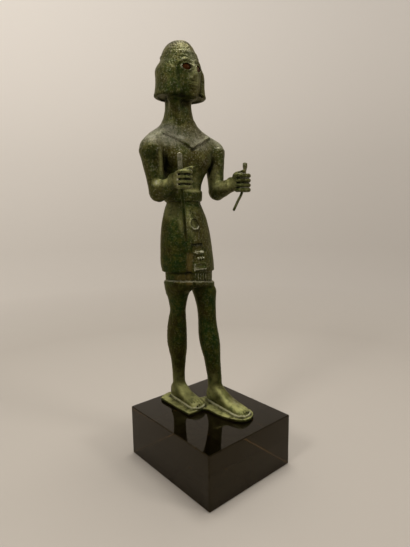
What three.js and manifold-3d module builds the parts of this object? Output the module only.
// A small bronze figure of a striding man in a wig and a wrapped kilt, cast in one with the thin plate
// under the feet. The pierced fists hold two thin rods, the eyes are inlaid, and the plate stands on a
// block of smoked acrylic.
// Millimetres, +Z up. The figure faces -Y and its left side is +X.
// The origin is the middle of the block's underside. Heights in the tables are above the block's top.
import * as THREE from "three";
import { mergeVertices } from "three/addons/utils/BufferGeometryUtils.js";
import Module from "manifold-3d";

// Driving dimensions.
const BLOCK = { wide: 81.4, deep: 93.4, high: 40, edge: 0.6 };
const CLEARANCE = 0.3;
const PLATE_THICK = 2.2;
const SOLE_THICK = 1.6;
const MIDDLE = 0.5;

// Heights, from the feet to the crown.
const HIP_LEDGE = 98.8;
const KILT_HEM = 107;
const BELT_FOOT = 159.6;
const BELT_TOP = 168.4;
const FIST = 173.6;
const WIG_HEM = 235;
const CAP_EDGE = 263;

// Each row is [height, middle x, middle y, half width, half depth].
const TORSO = [
  [155, MIDDLE, 27.0, 12.5, 9.5],
  [168, MIDDLE, 27.0, 14.6, 11.0],
  [172, MIDDLE, 27.1, 15.2, 11.4],
  [177, MIDDLE, 27.3, 17.4, 12.3],
  [183, MIDDLE, 27.6, 21.6, 13.2],
  [190, MIDDLE, 27.8, 25.8, 13.4],
  [196, 0.8, 27.6, 29.4, 12.8],
  [201, 1.4, 27.4, 32.6, 11.6],
  [204.5, 2.0, 27.6, 33.0, 10.6],
  [207.4, 2.3, 28.2, 30.8, 9.8],
  [210.2, 1.8, 29.2, 25.6, 9.5],
  [213, 1.3, 30.0, 20.2, 9.7],
  [216, 0.9, 30.6, 15.8, 10.0],
  [219, 0.7, 30.9, 13.2, 10.2],
  [222, MIDDLE, 31.0, 11.3, 10.0],
  [230, MIDDLE, 31.0, 9.7, 9.4],
  [241, MIDDLE, 30.6, 9.6, 9.4],
];
const KILT = [
  [KILT_HEM - 4, MIDDLE, 21.6, 20.9, 15.6],
  [KILT_HEM + 1.4, MIDDLE, 22.2, 21.5, 16.3],
  [113.7, MIDDLE, 23.2, 21.9, 16.6],
  [123, MIDDLE, 24.0, 21.3, 16.2],
  [131, MIDDLE, 24.6, 20.7, 15.8],
  [142.5, MIDDLE, 25.5, 19.0, 14.5],
  [148.3, MIDDLE, 25.9, 17.6, 13.4],
  [156, MIDDLE, 26.8, 14.9, 11.4],
  [159, MIDDLE, 26.9, 13.7, 10.4],
  [162, MIDDLE, 27.0, 13.4, 10.2],
];
// The hem of the kilt and the ledge below it are both a little lower on the figure's left. The ledge's
// rows are measured from its upper edge, along its own normal.
const HEM_NORMAL = [0.05, 0.035, 1];
const LEDGE_NORMAL = [0.12, 0.07, 1];
const UNDER_SKIRT = [
  [-4.4, 0, -0.4, 17.6, 12.0],
  [-3.2, 0, -0.3, 19.6, 14.4],
  [-1.2, 0, 0, 20.7, 15.7],
  [0.5, 0, 0, 20.4, 15.4],
];
const BELT = [
  [BELT_FOOT, MIDDLE, 27.0, 14.3, 10.8],
  [BELT_FOOT + 1.4, MIDDLE, 27.0, 15.4, 11.7],
  [BELT_TOP - 1.4, MIDDLE, 27.0, 15.6, 11.9],
  [BELT_TOP, MIDDLE, 27.0, 14.6, 11.1],
];
const RIGHT_LEG = [
  [5, -6.0, 28.9, 4.7, 6.6],
  [13.8, -6.1, 28.8, 4.5, 5.7],
  [22.5, -6.4, 28.6, 4.7, 5.4],
  [36.4, -6.9, 27.9, 5.7, 6.5],
  [43.1, -7.2, 27.9, 6.7, 7.8],
  [49.7, -7.4, 28.3, 7.35, 8.5],
  [56.4, -7.7, 28.0, 7.4, 8.6],
  [63.2, -7.9, 27.4, 7.2, 8.2],
  [69.9, -8.2, 26.4, 6.5, 7.4],
  [76.6, -8.4, 25.2, 5.9, 6.7],
  [81.5, -8.6, 24.8, 6.3, 7.2],
  [86.3, -8.8, 24.4, 7.2, 8.2],
  [91.2, -9.4, 23.6, 8.6, 10.2],
  [95.6, -9.4, 21.8, 9.8, 13.0],
  [99, -9.4, 21.6, 9.9, 13.6],
];
const LEFT_LEG = [
  [5, 10.4, 3.4, 5.0, 7.0],
  [14, 10.4, 3.6, 5.0, 6.4],
  [20.3, 10.4, 3.9, 5.1, 6.1],
  [31.4, 10.5, 5.6, 5.7, 6.6],
  [37.7, 10.6, 6.8, 6.1, 7.0],
  [43.9, 10.6, 8.3, 7.0, 8.0],
  [50.1, 10.7, 9.6, 7.6, 8.7],
  [56.3, 10.8, 11.1, 7.5, 8.7],
  [62.6, 10.8, 12.0, 7.0, 8.1],
  [69, 10.9, 12.7, 6.8, 7.8],
  [77, 10.9, 13.5, 7.0, 8.1],
  [84.9, 11.0, 14.8, 7.9, 9.1],
  [91, 11.3, 16.6, 8.9, 10.8],
  [95.6, 10.3, 19.2, 9.3, 12.2],
  [98, 10.2, 19.4, 9.4, 12.6],
];
const CAP = [
  [256, MIDDLE, 29.2, 12.7, 14.4],
  [263.7, MIDDLE, 29.2, 12.4, 14.1],
  [265.8, MIDDLE, 29.3, 11.9, 13.5],
  [267.9, MIDDLE, 29.4, 11.1, 12.5],
  [270, MIDDLE, 29.4, 9.9, 11.0],
  [271.9, MIDDLE, 29.2, 8.3, 9.3],
  [273.5, MIDDLE, 29.0, 6.0, 6.9],
  [274.6, MIDDLE, 28.8, 2.4, 2.8],
];
const WIG = [
  [WIG_HEM, 0.6, 28.4, 19.2, 15.2],
  [WIG_HEM + 1.1, 0.6, 28.4, 19.9, 15.9],
  [239, 0.6, 28.3, 19.5, 15.7],
  [244, 0.6, 28.1, 18.9, 15.4],
  [248, 0.6, 28.0, 18.8, 15.4],
  [251.5, 0.6, 28.4, 18.7, 15.4],
  [254.5, 0.6, 29.0, 17.9, 15.0],
  [257.4, MIDDLE, 29.2, 16.0, 14.5],
  [260, MIDDLE, 29.2, 13.8, 14.2],
  [262, MIDDLE, 29.2, 12.8, 14.0],
];
const FACE_POWER = 2.4;
const FACE = [
  [231.6, MIDDLE, 20.4, 3.4, 3.8],
  [233, MIDDLE, 20.4, 6.2, 6.8],
  [236.5, MIDDLE, 21.2, 8.9, 8.6],
  [241, MIDDLE, 22.6, 11.0, 10.2],
  [247, MIDDLE, 24.2, 12.3, 11.7],
  [253, MIDDLE, 25.2, 12.8, 12.4],
  [258, MIDDLE, 26.2, 12.6, 12.6],
  [264, MIDDLE, 28.2, 11.8, 12.4],
];
// The opening of the wig round the face.
const FACE_OPENING = [
  [229, MIDDLE, 8, 8.6, 11.5],
  [236, MIDDLE, 8, 9.4, 11.5],
  [241, MIDDLE, 8, 11.2, 11.5],
  [247, MIDDLE, 8, 12.4, 11.5],
  [255, MIDDLE, 8, 12.9, 11.5],
  [262.5, MIDDLE, 8, 12.0, 11.5],
];

const wasm = await Module();
wasm.setup();

// The columns of a table at one place along it. The first column is the place, in rising order.
// Each of the others follows a smooth curve through its rows that never overshoots them.
function between(rows, place) {
  const last = rows.length - 2;
  const found = rows.findIndex((row) => row[0] > place) - 1;
  const i = found === -2 ? last : Math.max(0, found);
  const rise = (k, c) => (rows[k + 1][c] - rows[k][c]) / (rows[k + 1][0] - rows[k][0]);
  const slope = (k, c) => {
    if (k === 0 || k > last) return rise(Math.min(k, last), c);
    const [before, after] = [rise(k - 1, c), rise(k, c)];
    return before * after <= 0 ? 0 : (2 * before * after) / (before + after);
  };
  const span = rows[i + 1][0] - rows[i][0];
  const t = THREE.MathUtils.clamp((place - rows[i][0]) / span, 0, 1);
  return rows[i].slice(1).map((start, c) => {
    const bend = t * t * (3 - 2 * t);
    const leave = slope(i, c + 1) * span * t * (1 - t) * (1 - t);
    const arrive = slope(i + 1, c + 1) * span * t * t * (t - 1);
    return start + (rows[i + 1][c + 1] - start) * bend + leave + arrive;
  });
}

// A closed form along a straight axis. Each row is [distance along the axis, offset along side,
// offset along front, half width, half depth]. Power 2 makes ovals and more makes them squarer.
// Every gap between two rows is cut into the same number of bands.
function form(rows, { at = [0, 0, 0], along, side, power = 2, around = 20, bands = 1 }) {
  const axis = new THREE.Vector3(...along).normalize();
  const across = new THREE.Vector3(...side);
  across.addScaledVector(axis, -across.dot(axis)).normalize();
  const front = new THREE.Vector3().crossVectors(axis, across);
  const rings = (rows.length - 1) * bands;
  const geometry = new THREE.CylinderGeometry(1, 1, 1, around, rings);
  const point = geometry.getAttribute("position");
  const sharpen = (x) => (Math.abs(x) < 1e-6 ? 0 : Math.sign(x) * Math.abs(x) ** (2 / power));
  for (let i = 0; i < point.count; i++) {
    const ring = Math.round((point.getY(i) + 0.5) * rings);
    const row = Math.min(Math.floor(ring / bands), rows.length - 2);
    const place = THREE.MathUtils.lerp(rows[row][0], rows[row + 1][0], ring / bands - row);
    const [dx, dy, halfWide, halfDeep] = between(rows, place);
    const p = new THREE.Vector3(...at)
      .addScaledVector(axis, place)
      .addScaledVector(across, dx + halfWide * sharpen(point.getZ(i)))
      .addScaledVector(front, dy + halfDeep * sharpen(point.getX(i)));
    point.setXYZ(i, p.x, p.y, p.z);
  }
  return geometry;
}

// An upright form from rows of [height, x, y, half width, half depth].
function upright(rows, around, bands = 1, power = 2.2) {
  return form(rows, { along: [0, 0, 1], side: [1, 0, 0], power, around, bands });
}

// A form from one point to another whose rows are [share of the way, half width, half depth].
function limb(from, to, rows, around, bands = 1) {
  const way = new THREE.Vector3(...to).sub(new THREE.Vector3(...from));
  const placed = rows.map(([share, wide, deep]) => [share * way.length(), 0, 0, wide, deep]);
  return form(placed, { at: from, along: way.toArray(), side: [1, 0, 0], around, bands });
}

// The y of an upright form's front surface at one x and one height.
function frontOf(rows, x, height, power = 2.2) {
  const [middleX, middleY, halfWide, halfDeep] = between(rows, height);
  const across = Math.min(1, Math.abs(x - middleX) / halfWide);
  return middleY - halfDeep * (1 - across ** power) ** (1 / power);
}

function ball([x, y, z], [rx, ry, rz], around = 12, rings = 8) {
  return new THREE.SphereGeometry(1, around, rings)
    .rotateX(Math.PI / 2)
    .scale(rx, ry, rz)
    .translate(x, y, z);
}

function box([x, y, z], [wide, deep, high]) {
  return new THREE.BoxGeometry(wide, deep, high).translate(x, y, z);
}

// A round bar along a smooth curve through points.
function bar(points, radius, steps, sides = 8) {
  const path = new THREE.CatmullRomCurve3(points.map((p) => new THREE.Vector3(...p)));
  const section = new THREE.Shape().absarc(0, 0, radius, 0, 2 * Math.PI);
  return new THREE.ExtrudeGeometry(section, { steps, extrudePath: path, curveSegments: sides / 2 });
}

// A flat sheet with a smooth outline and a small bevel, from one height to another.
function sheet(outline, bottom, top) {
  const bevel = 0.4;
  const path = new THREE.SplineCurve(outline.map(([x, y]) => new THREE.Vector2(x, y)));
  return new THREE.ExtrudeGeometry(new THREE.Shape(path.getPoints(Math.round(outline.length * 1.3))), {
    depth: top - bottom - 2 * bevel,
    bevelThickness: bevel,
    bevelSize: bevel,
    bevelOffset: -bevel,
    bevelSegments: 1,
  }).translate(0, 0, bottom + bevel);
}

function solid(geometry) {
  const bare = geometry.clone();
  bare.deleteAttribute("normal");
  bare.deleteAttribute("uv");
  const merged = mergeVertices(bare, 1e-4);
  return new wasm.Manifold(
    new wasm.Mesh({
      numProp: 3,
      vertProperties: merged.getAttribute("position").array,
      triVerts: new Uint32Array(merged.index.array),
    }),
  );
}

function joined(geometries) {
  return wasm.Manifold.union(geometries.map(solid));
}

function meshOf(made, name, material) {
  const { vertProperties, triVerts } = made.getMesh();
  const geometry = new THREE.BufferGeometry();
  geometry.setAttribute("position", new THREE.BufferAttribute(vertProperties, 3));
  geometry.setIndex(new THREE.BufferAttribute(triVerts, 1));
  geometry.computeVertexNormals();
  const mesh = new THREE.Mesh(geometry, material);
  mesh.name = name;
  return mesh;
}

// Trunk, kilt and legs. The collarbones are a shallow V cut into the chest.
const collar = [-1, 1].map((k) => {
  const points = [-0.4, 5, 10.5, 16, 21].map((reach) => {
    const [x, height] = [MIDDLE + k * reach, 197.4 + 0.45 * reach];
    return [x, frontOf(TORSO, x, height) - 0.1, height];
  });
  return bar(points, 0.8, 4, 6);
});
const trunk = solid(upright(TORSO, 24)).subtract(joined(collar));
const hem = new THREE.Plane().setFromNormalAndCoplanarPoint(
  new THREE.Vector3(...HEM_NORMAL).normalize(),
  new THREE.Vector3(MIDDLE, 21.6, KILT_HEM),
);
const kilt = solid(upright(KILT, 24)).trimByPlane(hem.normal.toArray(), -hem.constant);
const skirts = [
  upright([[HIP_LEDGE - 1, MIDDLE, 21.4, 19.2, 14.4], [KILT_HEM + 2, MIDDLE, 21.6, 19.4, 14.6]], 24),
  form(UNDER_SKIRT, { at: [MIDDLE, 21.2, HIP_LEDGE], along: LEDGE_NORMAL, side: [1, 0, 0], power: 2.2, around: 24 }),
  upright(BELT, 24),
];
const legs = [RIGHT_LEG, LEFT_LEG].map((rows) => upright(rows, 12, 1, 2));

// The front of the kilt: the curved edge of the wrap, and an apron with a disc, a narrow panel, two
// bars with knobs between them, and a fringe. Each place is [x, height].
const WRAP_EDGE = [[-12.2, 106.5], [-11.6, 110], [-10.7, 116], [-9.2, 121], [-8, 126], [-8.4, 131]];
const DISC = [-2.2, 143.2];
const BARS = [{ place: [-1.2, 122], wide: 10.4, high: 3.2 }, { place: [-0.7, 112], wide: 11.2, high: 5.6 }];
const KNOBS = { high: 117.9, from_bar: [-1.2, 1.2, 3.6] };
const STRANDS = [-5, -2.5, 0, 2.5, 5];
function onKilt([x, height], proud) {
  return [x, frontOf(KILT, x, height) - proud, height];
}
function crossbar({ place, wide, high }) {
  const ends = [-0.5, -0.45, 0.45, 0.5].map((share, i) => {
    return [share * wide, 0, 0, i % 3 ? 1.6 : 1.3, (high / 2) * (i % 3 ? 1 : 0.8)];
  });
  return form(ends, { at: onKilt(place, 0.1), along: [1, 0, 0], side: [0, 1, 0], power: 2.6, around: 8 });
}
const panel = [[108, -2.2, 6.2], [115, -2.4, 5.8], [122, -2.9, 5.3], [130, -3.0, 4.8], [139, -2.4, 4.2], [143, -2.3, 3.6]];
const apron = [
  upright(panel.map(([height, x, half]) => [height, x, onKilt([x, height], 0)[1] + 1.2, half, 1.8]), 8, 1, 9),
  ball(onKilt(DISC, 0.5), [4.8, 1.3, 4.8], 12, 6),
  ...BARS.map(crossbar),
  ...KNOBS.from_bar.map((x) => ball(onKilt([BARS[0].place[0] + x, KNOBS.high], 0.4), [1.2, 1.2, 1.3], 6, 4)),
  ...STRANDS.map((x) => {
    const strand = BARS[1].place[0] + x;
    return bar([[strand, 6.9, 109], [strand, 6.9, 104], [strand + 0.1 * x, 7.0, 100.4]], 1.2, 2, 4);
  }),
];
const fold = bar(WRAP_EDGE.map((place) => onKilt(place, 0.1)), 0.8, 6, 6);

// Feet on thin soles, and the plate under both.
const FEET = [
  { x: -5.8, heel: 37.0, long: 34.4 },
  { x: 10.6, heel: 11.4, long: 42 },
];
function foot({ x, heel, long }) {
  const rows = [
    [0, 0, 6.6, 2.4, 3.6],
    [0.04, 0, 7.8, 3.8, 5.6],
    [0.14, 0, 9.0, 4.6, 7.2],
    [0.28, 0, 10.0, 4.9, 8.2],
    [0.4, 0, 8.4, 5.2, 6.6],
    [0.55, 0.1, 6.4, 5.6, 4.6],
    [0.72, 0.2, 5.2, 6.1, 3.4],
    [0.88, 0.2, 4.7, 6.0, 2.7],
    [0.96, 0.1, 4.4, 5.2, 2.2],
    [1, 0, 4.2, 4.0, 1.6],
  ].map(([share, ...rest]) => [share * long, ...rest]);
  return form(rows, { at: [x, heel, 0], along: [0, -1, 0], side: [1, 0, 0], power: 2.4, around: 12 });
}
function sole({ x, heel, long }) {
  const outline = [
    [0.02, -2.6], [0.14, -4.6], [0.35, -5.4], [0.6, -6.3], [0.8, -6.9], [0.93, -6.0], [1, -2.8],
    [1, 2.6], [0.94, 5.8], [0.8, 6.7], [0.6, 6.1], [0.35, 5.2], [0.14, 4.6], [0.02, 2.6],
  ].map(([share, side]) => [x + side, heel - share * (long + 1.2) + 0.4]);
  return sheet(outline, PLATE_THICK - 0.5, PLATE_THICK + SOLE_THICK);
}
const PLATE = [
  [-17.2, 36], [-17.2, 6], [-16.4, 2.3], [-10, 1.9], [-4, 1.4], [-1.9, -3], [-1.9, -11],
  [-0.8, -19], [2.2, -27], [6, -32], [11.4, -33.2], [17.2, -31.2], [20.4, -27.2], [21.2, -20], [20.9, 8],
  [17.6, 15.2], [9.6, 16.6], [4.8, 20], [4, 31], [2, 38.8], [-4, 42.8], [-11, 42.4], [-15.6, 40],
];
const stand = [sheet(PLATE, 0, PLATE_THICK), ...FEET.map(sole), ...FEET.map(foot)];

// Arms bent at the elbow, with the fists held out in front. The k is 1 for the left arm and -1 for the right.
function arm(k) {
  const shoulder = [k > 0 ? 31.2 : -28.9, 25.6, 197.5 + k * 0.7];
  const elbow = [k > 0 ? 28.9 : -27.4, 20.4, 166.7 + k * 0.6];
  const wrist = [k > 0 ? 27.4 : -26.1, 1.2, 172.2];
  return [
    ball(shoulder, [7.6, 8.8, 8.6], 12, 7),
    limb(shoulder, elbow, [[0, 7.5, 8.6], [0.22, 7.4, 8.4], [0.5, 6.7, 7.2], [0.8, 6.2, 6.4], [1, 6.0, 6.2]], 12),
    ball(elbow, [6.0, 6.3, 6.3], 12, 7),
    limb(elbow, wrist, [[0, 5.8, 6.2], [0.35, 5.7, 6.3], [0.7, 5.0, 5.5], [1, 4.6, 4.9]], 12),
  ];
}
function fist(k) {
  const x = k > 0 ? 27.6 : -27;
  const curl = [[3.4, -8], [4.5, -11.2], [2.4, -13.1], [-1.8, -13.1], [-4.2, -10.8], [-3.7, -7.4]];
  const palm = form(
    [[-3, 0, 0, 4.4, 4.6], [1.5, 0.1, 0.1, 4.6, 5.2], [6, 0.3, 0.3, 4.9, 6.2], [11, 0.2, 0.1, 4.8, 6.2], [12.9, 0, 0, 3.9, 5.6]],
    { at: [x + k * 0.4, 0, FIST], along: [0, -1, 0], side: [1, 0, 0], power: 2.7, around: 12 },
  );
  const fingers = [4.8, 1.65, -1.5, -4.65].map((up) =>
    bar(curl.map(([dx, dy]) => [x + k * dx, dy, FIST + up]), 1.52, 5, 6),
  );
  const thumb = limb(
    [x - k * 1.0, -3.5, FIST + 4.4],
    [x - k * 2.8, -14, FIST + 7.6],
    [[0, 1.6, 1.6], [0.3, 2.2, 2.1], [0.7, 2.0, 1.8], [0.92, 1.6, 1.4], [1, 0.7, 0.6]],
    10,
  );
  return [palm, ...fingers, thumb];
}

// Head. The wig falls to a flat hem and opens round the face, and a ledge marks the edge of the cap.
const EYE = { apart: 5.0, high: 253.2, wide: 3.25, tall: 2.05 };
function eye(k, grown, deep, proud) {
  const x = MIDDLE + k * EYE.apart;
  const radii = [EYE.wide + grown, deep, EYE.tall + grown];
  return ball([x, frontOf(FACE, x, EYE.high, FACE_POWER) - proud, EYE.high], radii, 12, 6);
}
const lid = (k) => eye(k, 1.1, 1.5, -0.2);
const inlayOf = (k, grown = 0) => eye(k, grown, 1.7 + grown, 0.2);
const wig = solid(upright(WIG, 24)).subtract(solid(upright(FACE_OPENING, 16, 1, 5)));
// The neck swells under the right cheek, where the wig rests on it.
const swelling = limb([-3.5, 27.5, 218], [-8.7, 24, 240], [[0, 5.0, 5.0], [1, 6.2, 6.2]], 12);
const cap = [
  upright(CAP, 20, 1, 2),
  form([[-1.6, 0, 0, 12.4, 14.3], [-0.2, 0, 0, 12.65, 14.8], [0.6, 0, 0, 12.0, 13.8]], {
    at: [MIDDLE, 29.2, CAP_EDGE], along: [0, -0.14, 1], side: [1, 0, 0], around: 20,
  }),
];
const brows = [-1, 1].map((k) => {
  const points = [[1.6, 257.2], [4.4, 258.2], [7.4, 257.5], [9.6, 255.6]].map(([reach, height]) => {
    const x = MIDDLE + k * reach;
    return [x, frontOf(FACE, x, height, FACE_POWER) + 0.3, height];
  });
  return bar(points, 0.9, 4, 6);
});
const features = [
  form([[0, 0, 0, 1.4, 1.6], [5, 0, 0, 1.7, 2.1], [10.2, 0, 0, 2.4, 2.7], [12, 0, 0, 2.1, 1.8]], {
    at: [MIDDLE, 13.4, 257.4], along: [0, -0.24, -0.97], side: [1, 0, 0], around: 8,
  }),
  ball([MIDDLE, 12.2, 245.8], [3.2, 1.9, 1.5], 8, 4),
  ball([MIDDLE, 12.6, 241.5], [4.2, 1.6, 0.9], 8, 4),
  ball([MIDDLE, 13.0, 239.4], [3.6, 1.6, 1.0], 8, 4),
  ball([MIDDLE, 14.5, 235], [3.8, 2.5, 2.4], 8, 4),
];
const face = joined([upright(FACE, 18, 1, FACE_POWER), swelling, ...brows, ...features, lid(-1), lid(1)]);
const sockets = joined([inlayOf(-1, CLEARANCE), inlayOf(1, CLEARANCE)]);

// The two rods, each closed in a fist with clearance all round.
const RODS = {
  right_hand_staff: { radius: 1.1, bends: 6, points: [[-23.8, -6.3, 132.5], [-24.9, -6.3, 148], [-26.5, -6.2, 167], [-27.9, -6.1, 191.5]] },
  left_hand_rod: { radius: 0.95, bends: 9, points: [[22.7, -5.0, 152.6], [25.6, -7, 160], [28.0, -8.6, 166], [29.4, -10, 177], [29.6, -10.3, 186.4]] },
};
const holes = Object.values(RODS).map(({ points, radius, bends }) => bar(points, radius + CLEARANCE, bends, 8));

const cast = kilt
  .add(joined(skirts))
  .subtract(solid(fold))
  .add(joined([...legs, ...apron, ...stand, ...arm(1), ...arm(-1), ...fist(1), ...fist(-1), ...cap]))
  .add(trunk)
  .add(wig)
  .add(face)
  .subtract(sockets)
  .subtract(joined(holes))
  .simplify(0.2);
// The hollows closed off between the fingers and the palms are solid metal.
const [figure] = cast.decompose().sort((a, b) => b.volume() - a.volume());

const bronze = new THREE.MeshStandardMaterial({ color: 0x3d4630, roughness: 0.45, metalness: 0.85 });
const inlay = new THREE.MeshStandardMaterial({ color: 0x3a160c, roughness: 0.2, metalness: 0 });
const acrylic = new THREE.MeshStandardMaterial({ color: 0x1a120a, roughness: 0.05, metalness: 0 });

const standing = new THREE.Group();
standing.position.z = BLOCK.high + CLEARANCE;
standing.add(meshOf(figure, "bronze_figure", bronze));
for (const [name, { points, radius, bends }] of Object.entries(RODS)) {
  standing.add(meshOf(solid(bar(points, radius, bends, 8)), name, bronze));
}
standing.add(meshOf(solid(inlayOf(1)), "eye_inlay_left", inlay));
standing.add(meshOf(solid(inlayOf(-1)), "eye_inlay_right", inlay));

const less = BLOCK.edge * 2;
const middle = [0, 0, BLOCK.high / 2];
const block = joined([
  box(middle, [BLOCK.wide, BLOCK.deep - less, BLOCK.high - less]),
  box(middle, [BLOCK.wide - less, BLOCK.deep, BLOCK.high - less]),
  box(middle, [BLOCK.wide - less, BLOCK.deep - less, BLOCK.high]),
]).hull();

const part = new THREE.Group();
part.add(standing, meshOf(block, "stand_block", acrylic));

export default part;
